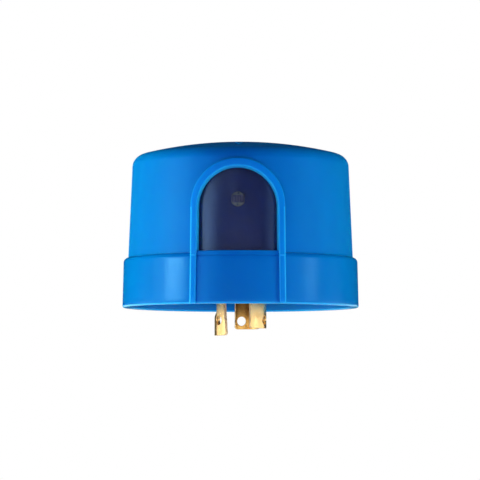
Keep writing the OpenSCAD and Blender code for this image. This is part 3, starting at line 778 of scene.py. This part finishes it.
class Paint:
    """A node material around one Principled shader, in the object's own coordinates."""

    def __init__(self, name, **sockets):
        self.material = bpy.data.materials.new(name)
        self.material.use_nodes = True
        self.nodes = self.material.node_tree.nodes
        self.links = self.material.node_tree.links
        self.shader = self.nodes["Principled BSDF"]
        for key, value in sockets.items():
            self.shader.inputs[key.replace("_", " ")].default_value = value
        self.coords = self.nodes.new("ShaderNodeTexCoord")

    def noise(self, scale, detail, stretch=None):
        source = self.coords.outputs["Object"]
        if stretch:
            mapping = self.nodes.new("ShaderNodeMapping")
            mapping.inputs["Scale"].default_value = stretch
            self.links.new(source, mapping.inputs["Vector"])
            source = mapping.outputs["Vector"]
        node = self.nodes.new("ShaderNodeTexNoise")
        node.inputs["Scale"].default_value = scale
        node.inputs["Detail"].default_value = detail
        self.links.new(source, node.inputs["Vector"])
        return node.outputs["Fac"]

    def ramp(self, fac, low, high, start=0.3, end=0.7):
        node = self.nodes.new("ShaderNodeValToRGB")
        node.color_ramp.elements[0].position = start
        node.color_ramp.elements[1].position = end
        node.color_ramp.elements[0].color = (*low, 1)
        node.color_ramp.elements[1].color = (*high, 1)
        self.links.new(fac, node.inputs["Fac"])
        return node.outputs["Color"]

    def span(self, fac, low, high):
        """A noise spread over a range of values."""
        node = self.nodes.new("ShaderNodeMapRange")
        node.inputs["From Min"].default_value = 0.3
        node.inputs["From Max"].default_value = 0.7
        node.inputs["To Min"].default_value = low
        node.inputs["To Max"].default_value = high
        self.links.new(fac, node.inputs["Value"])
        return node.outputs["Result"]

    def along(self, axis, start, end, low, high, shape="LINEAR"):
        """A value that changes from low to high between two places on an axis."""
        split = self.nodes.new("ShaderNodeSeparateXYZ")
        self.links.new(self.coords.outputs["Object"], split.inputs["Vector"])
        node = self.nodes.new("ShaderNodeMapRange")
        node.interpolation_type = shape
        node.inputs["From Min"].default_value = start * MM
        node.inputs["From Max"].default_value = end * MM
        node.inputs["To Min"].default_value = low
        node.inputs["To Max"].default_value = high
        self.links.new(split.outputs[axis], node.inputs["Value"])
        return node.outputs["Result"]

    def add(self, a, b):
        node = self.nodes.new("ShaderNodeMath")
        self.links.new(a, node.inputs[0])
        self.links.new(b, node.inputs[1])
        return node.outputs["Value"]

    def bump(self, fac, distance, strength):
        node = self.nodes.new("ShaderNodeBump")
        node.inputs["Distance"].default_value = distance * MM
        node.inputs["Strength"].default_value = strength
        self.links.new(fac, node.inputs["Height"])
        self.links.new(node.outputs["Normal"], self.shader.inputs["Normal"])

    def set(self, socket, output):
        self.links.new(output, self.shader.inputs[socket])

    def put_on(self, *objs):
        """First material of each object; clearing a new mesh would reset its face marks."""
        for obj in objs:
            if len(obj.data.materials):
                obj.data.materials.clear()
            obj.data.materials.append(self.material)

    def put_next(self, *objs):
        """Next material of each object, for its marked faces."""
        for obj in objs:
            obj.data.materials.append(self.material)


def cover_paint(name, low, high):
    """Satin blue plastic that lets some light in, smoother on the skirt than on the body."""
    paint = Paint(name, Subsurface_Weight=0.6, Subsurface_Scale=0.0016, IOR=1.5,
                  Subsurface_Radius=(0.2, 0.7, 1.0), Specular_Tint=(0.15, 0.7, 1.0, 1))
    paint.set("Base Color", paint.ramp(paint.noise(55, 2.0), low, high))
    step_z = SKIRT_H - SKIRT_DROP
    finish = paint.along("Z", step_z - 0.3, step_z + 0.3, 0.20, 0.42)
    paint.set("Roughness", paint.add(finish, paint.span(paint.noise(140, 3.0), 0.0, 0.06)))
    paint.bump(paint.noise(1500, 2.0), 0.012, 0.35)
    return paint


def window_paint():
    """Clear plastic with a dark blue tint and a faintly uneven polish."""
    paint = Paint("window_plastic", Transmission_Weight=0.985, IOR=1.47)
    cloud = paint.noise(60, 2.0)
    paint.set("Base Color", paint.ramp(cloud, (0.48, 0.60, 0.82), (0.54, 0.66, 0.88)))
    paint.set("Roughness", paint.span(paint.noise(260, 2.0), 0.10, 0.13))
    return paint


def brass_paint(name, pale, deep, rough):
    """Rolled brass with a faint grain along the height."""
    paint = Paint(name, Metallic=0.92)
    grain = paint.noise(300, 3.0, (1.0, 1.0, 0.4))
    paint.set("Base Color", paint.ramp(grain, deep, pale, 0.32, 0.62))
    paint.set("Roughness", paint.span(paint.noise(400, 2.0), *rough))
    return paint


def inside_shade_paint():
    """Brass of the blades' inner faces, with painted shade that deepens towards the root, under the
    skirt.
    """
    paint = Paint("blade_inside_painted_shade", Metallic=0.92)
    patches = paint.span(paint.noise(300, 3.0), -0.1, 0.1)
    # Painted shade: darker towards the top of the inner faces, where the skirt shades them.
    painted_shade = paint.add(paint.along("Z", -11.5, -6.0, 0.1, 0.9), patches)
    paint.set("Base Color", paint.ramp(painted_shade, (1.0, 0.62, 0.18), (0.24, 0.10, 0.02), 0.0, 1.0))
    paint.set("Roughness", paint.span(paint.noise(400, 2.0), 0.22, 0.28))
    return paint


def sheared_paint():
    """Torn brass of the cut edges, with dark specks."""
    paint = Paint("sheared_brass", Metallic=0.6)
    torn = paint.noise(1500, 3.0)
    paint.set("Base Color", paint.ramp(torn, (0.55, 0.32, 0.12), (1.0, 0.78, 0.46), 0.34, 0.54))
    paint.set("Roughness", paint.span(paint.noise(2600, 2.0), 0.4, 0.65))
    paint.bump(torn, 0.03, 0.4)
    return paint


def plain_paint(name, low, high, rough, scale, grain, **sockets):
    """Moulded, coated or plated surface: a little colour variation, uneven gloss and a fine grain."""
    paint = Paint(name, **sockets)
    paint.set("Base Color", paint.ramp(paint.noise(scale, 3.0), low, high))
    paint.set("Roughness", paint.span(paint.noise(scale * 1.7, 3.0), *rough))
    paint.bump(paint.noise(scale * 5, 2.0), grain, 0.4)
    return paint


def paint_inner_nodes():
    """Parts inside the cover: two colours, the roughness, the pattern's scale and the grain's depth."""
    metal = ("photocell_leads", "board_screws", "solder_joints")
    looks = {
        "base": ((0.045, 0.05, 0.058), (0.07, 0.075, 0.085), (0.45, 0.6), 300, 0.03),
        "gasket": ((0.022, 0.022, 0.025), (0.045, 0.045, 0.05), (0.8, 0.95), 900, 0.15),
        "photocell_leads": ((0.62, 0.62, 0.64), (0.78, 0.78, 0.8), (0.25, 0.4), 700, 0.01),
        "photocell_holder": ((0.008, 0.030, 0.11), (0.012, 0.042, 0.15), (0.55, 0.7), 350, 0.02),
        "circuit_board": ((0.02, 0.12, 0.05), (0.04, 0.19, 0.08), (0.3, 0.45), 160, 0.02),
        "board_screws": ((0.5, 0.5, 0.52), (0.7, 0.7, 0.72), (0.25, 0.4), 500, 0.01),
        "relay": ((0.015, 0.015, 0.018), (0.028, 0.028, 0.03), (0.4, 0.55), 260, 0.02),
        "film_capacitor": ((0.55, 0.42, 0.06), (0.66, 0.52, 0.1), (0.3, 0.42), 180, 0.01),
        "surge_arrester": ((0.55, 0.18, 0.03), (0.68, 0.25, 0.05), (0.25, 0.4), 220, 0.04),
        "filter_capacitor": ((0.02, 0.025, 0.08), (0.04, 0.045, 0.12), (0.2, 0.35), 200, 0.01),
        "rectifier_diodes": ((0.015, 0.015, 0.018), (0.03, 0.03, 0.033), (0.4, 0.55), 400, 0.02),
        "zener_diode": ((0.36, 0.09, 0.03), (0.48, 0.15, 0.07), (0.1, 0.2), 300, 0.005),
        "dropping_resistor": ((0.24, 0.29, 0.32), (0.32, 0.37, 0.4), (0.55, 0.7), 350, 0.04),
        "bias_resistors": ((0.5, 0.36, 0.2), (0.64, 0.49, 0.3), (0.3, 0.45), 350, 0.02),
        "switching_transistor": ((0.012, 0.012, 0.014), (0.024, 0.024, 0.026), (0.4, 0.55), 300, 0.02),
        "solder_joints": ((0.55, 0.56, 0.59), (0.74, 0.75, 0.78), (0.2, 0.35), 600, 0.02),
    }
    for node, look in looks.items():
        sockets = {"Metallic": 1.0} if node in metal else {}
        plain_paint(node, *look, **sockets).put_on(NODES[node])


# Stage

def add_area_light(name, place, size, power, colour, mirrored):
    """Area lamp that faces the switch, hidden from the camera and, unless mirrored, from gloss."""
    data = bpy.data.lights.new(name, "AREA")
    data.shape = "RECTANGLE"
    data.size, data.size_y = size
    data.energy = power
    data.color = colour
    lamp = bpy.data.objects.new(name, data)
    lamp.location = place
    lamp.rotation_euler = (Vector(LAMP_AIM) - Vector(place)).to_track_quat("-Z", "Y").to_euler()
    lamp.visible_camera = False
    lamp.visible_glossy = mirrored
    bpy.context.scene.collection.objects.link(lamp)


def build_world(level, tint):
    """White background for the camera and for what gloss and glass show, and a soft fill otherwise."""
    world = bpy.data.worlds.new("studio")
    bpy.context.scene.world = world
    world.use_nodes = True
    nodes, links = world.node_tree.nodes, world.node_tree.links
    nodes.clear()
    path = nodes.new("ShaderNodeLightPath")
    seen = path.outputs["Is Camera Ray"]
    for name in ("Is Glossy Ray", "Is Transmission Ray"):
        most = nodes.new("ShaderNodeMath")
        most.operation = "MAXIMUM"
        links.new(seen, most.inputs[0])
        links.new(path.outputs[name], most.inputs[1])
        seen = most.outputs["Value"]
    fill = nodes.new("ShaderNodeBackground")
    fill.inputs["Color"].default_value = (*tint, 1)
    fill.inputs["Strength"].default_value = level
    white = nodes.new("ShaderNodeBackground")
    white.inputs["Strength"].default_value = 1.0
    white.inputs["Color"].default_value = (1, 1, 1, 1)
    mix = nodes.new("ShaderNodeMixShader")
    links.new(seen, mix.inputs["Fac"])
    links.new(fill.outputs["Background"], mix.inputs[1])
    links.new(white.outputs["Background"], mix.inputs[2])
    out = nodes.new("ShaderNodeOutputWorld")
    links.new(mix.outputs["Shader"], out.inputs["Surface"])


def build_floor(z, radius):
    """Plain pale floor below the switch, hidden from the camera so that views from below stay open."""
    sides = 64
    verts = [(0, 0, z)]
    for i in range(sides):
        a = 2 * math.pi * i / sides
        verts.append((radius * math.cos(a), radius * math.sin(a), z))
    faces = [[0, i + 1, (i + 1) % sides + 1] for i in range(sides)]
    floor = new_object("floor", verts, faces)
    paint = plain_paint("floor_paper", (0.80, 0.80, 0.80), (0.84, 0.84, 0.84), (0.7, 0.9), 4, 0.05)
    paint.put_on(floor)
    floor.visible_camera = False


def show_in_gloss_only(card):
    """Takes a card out of the picture, out of the diffuse light and out of the shadows."""
    card.visible_camera = False
    card.visible_diffuse = False
    card.visible_shadow = False


def build_flag(name, corners):
    """Dark studio card that keeps the white surroundings out of the gloss."""
    card = new_object(name, corners, [[0, 1, 2, 3]])
    plain_paint(name, (0.01, 0.01, 0.012), (0.014, 0.014, 0.016), (0.9, 1.0), 6, 0.02).put_on(card)
    show_in_gloss_only(card)


def build_flags():
    """Cards in front, behind, overhead and high at the sides, which leave the sides open low down."""
    x, front, back, low, high = 1600.0, -1500.0, 1200.0, -200.0, 1100.0
    build_flag("flag_front", [(-x, front, 60.0), (x, front, 60.0), (x, front, high), (-x, front, high)])
    build_flag("flag_back", [(-x, back, low), (x, back, low), (x, back, high), (-x, back, high)])
    build_flag("flag_top", [(-x, front, high), (x, front, high), (x, back, high), (-x, back, high)])
    sides = (
        ("flag_left_front", -x, front, -920.0, low), ("flag_left_high", -x, -920.0, 0.0, 450.0),
        ("flag_left_side", -x, 0.0, 700.0, 60.0), ("flag_left_back", -x, 700.0, back, low),
        ("flag_right_high", x, front, -500.0, 300.0), ("flag_right_side", x, -500.0, 700.0, 60.0),
        ("flag_right_back", x, 700.0, back, low),
    )
    for name, side, near, far, bottom in sides:
        corners = [(side, near, bottom), (side, far, bottom), (side, far, high), (side, near, high)]
        build_flag(name, corners)


def build_glow(name, start, end, y, heights, colour, strengths):
    """Softbox in front of the switch that changes in strength from one x to another."""
    low, high = heights
    corners = [(start, y, low), (end, y, low), (end, y, high), (start, y, high)]
    card = new_object(name, corners, [[0, 1, 2, 3]])
    paint = Paint(name, Base_Color=(0, 0, 0, 1), Emission_Color=(*colour, 1))
    paint.set("Emission Strength", paint.along("X", start, end, *strengths, "SMOOTHSTEP"))
    paint.put_on(card)
    show_in_gloss_only(card)


def build_reflector(radius, heights, start, end, colour, strength):
    """Low curved softbox round the front and sides of the blades."""
    steps = 48
    verts, faces = [], []
    for i in range(steps + 1):
        a = math.radians(start + (end - start) * i / steps)
        verts += [(radius * math.cos(a), radius * math.sin(a), z) for z in heights]
    for i in range(steps):
        faces.append([2 * i, 2 * i + 2, 2 * i + 3, 2 * i + 1])
    card = new_object("glow_blades", verts, faces)
    glow = {"Emission_Color": (*colour, 1), "Emission_Strength": strength}
    Paint("glow_blades", Base_Color=(0, 0, 0, 1), **glow).put_on(card)
    show_in_gloss_only(card)


def build_camera():
    """Camera at the photograph's viewing angle: slightly right of the front and below the rim."""
    distance, turn, height, aim = 0.92, math.radians(1.4), -0.04, (-0.0002, 0, 0.01822)
    data = bpy.data.cameras.new("camera")
    data.sensor_width = 36.0
    data.lens = 193.96
    data.clip_end = 50
    camera = bpy.data.objects.new("camera", data)
    camera.location = (distance * math.sin(turn), -distance * math.cos(turn), height)
    look = Vector(aim) - camera.location
    camera.rotation_euler = look.to_track_quat("-Z", "Y").to_euler()
    bpy.context.scene.collection.objects.link(camera)
    bpy.context.scene.camera = camera


def build_stage():
    bpy.context.scene.view_settings.view_transform = "Standard"
    build_world(0.08, (0.60, 0.80, 1.0))
    build_floor(-200.0, 1600.0)
    build_flags()
    for lamp in LAMPS:
        add_area_light(*lamp)
    build_glow("glow_left", -200.0, -660.0, -750.0, (-100.0, 250.0), COOL, (0.0, 3.8))
    build_glow("glow_right", 300.0, 680.0, -750.0, (-100.0, 130.0), COOL, (0.0, 1.9))
    build_glow("glow_low", -1500.0, 1500.0, -1400.0, (-180.0, 0.0), (1.0, 0.94, 0.80), (2.2, 2.2))
    build_reflector(62.0, (-45.0, -6.2), 150, 390, (1.0, 0.90, 0.76), 1.35)
    build_camera()


# Pieces

def make_cover():
    cover = build_cover()
    cover_paint("cover_plastic", (0.0, 0.21, 0.63), (0.0, 0.235, 0.68)).put_on(cover)
    # Lighter copy of the same plastic on the frame's face: painted light.
    cover_paint("frame_painted_light", (0.0, 0.28, 0.79), (0.0, 0.30, 0.83)).put_next(cover)
    # Paler copy on the rounded edges, jamb and rim: painted highlight on the edges, painted light on the
    # jamb.
    cover_paint("edge_painted_highlight", (0.01, 0.44, 0.95), (0.012, 0.48, 1.0)).put_next(cover)
    return cover


def make_window():
    window = build_window()
    window_paint().put_on(window)
    return window


def make_blades():
    blades = [build_blade(*row) for row in BLADES]
    brass_paint("blade_brass", (1.0, 0.74, 0.36), (1.0, 0.70, 0.31), (0.22, 0.27)).put_on(*blades)
    sheared_paint().put_next(*blades)
    # The inner faces carry painted shade.
    inside_shade_paint().put_next(*blades)
    rivets = brass_paint("rivet_brass", (0.80, 0.60, 0.30), (0.66, 0.44, 0.18), (0.3, 0.45))
    rivets.put_on(NODES["blade_rivets"])
    return blades


def make_cell():
    """The light cell, then the pieces on its face: field, track and two lead ends."""
    cell, comb, track, ends = build_cell(), build_comb(), build_track(), build_lead_ends()
    looks = (
        ([cell], "cell_ceramic", (0.40, 0.31, 0.13), (0.47, 0.37, 0.15), (0.4, 0.55), 500),
        ([comb], "cell_comb", (0.30, 0.185, 0.14), (0.37, 0.23, 0.175), (0.4, 0.5), 900),
        ([track], "cell_track", (0.06, 0.038, 0.03), (0.09, 0.058, 0.045), (0.4, 0.5), 900),
        (ends, "lead_ends", (0.05, 0.045, 0.04), (0.09, 0.08, 0.07), (0.4, 0.5), 900),
    )
    for objs, name, low, high, rough, scale in looks:
        plain_paint(name, low, high, rough, scale, 0.02).put_on(*objs)
    return cell, comb, track, *ends


def add_pieces():
    """Builds the pieces, attaches each to the root body and hides the CAD node it stands for; the slot
    named beside each is not used.
    """
    cover, window = make_cover(), make_window()
    neutral, line, load = make_blades()
    cell, comb, track, *ends = make_cell()
    stand_for = (
        (cover, "cover", "cover_plastic"), (window, "window", "window_plastic"),
        (neutral, "neutral_blade", "blade_brass"), (line, "line_blade", "blade_brass"),
        (load, "load_blade", "blade_brass"), (cell, "photocell", "cell_ceramic"),
    )
    for piece, node, slot in stand_for:
        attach(piece, "root")
        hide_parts(node)
    on_cell = (
        (comb, "cell_ceramic"), (track, "cell_ceramic"),
        (ends[0], "tinned_wire"), (ends[1], "tinned_wire"),
    )
    for piece, slot in on_cell:
        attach(piece, "root")
    paint_inner_nodes()


build_stage()
add_pieces()
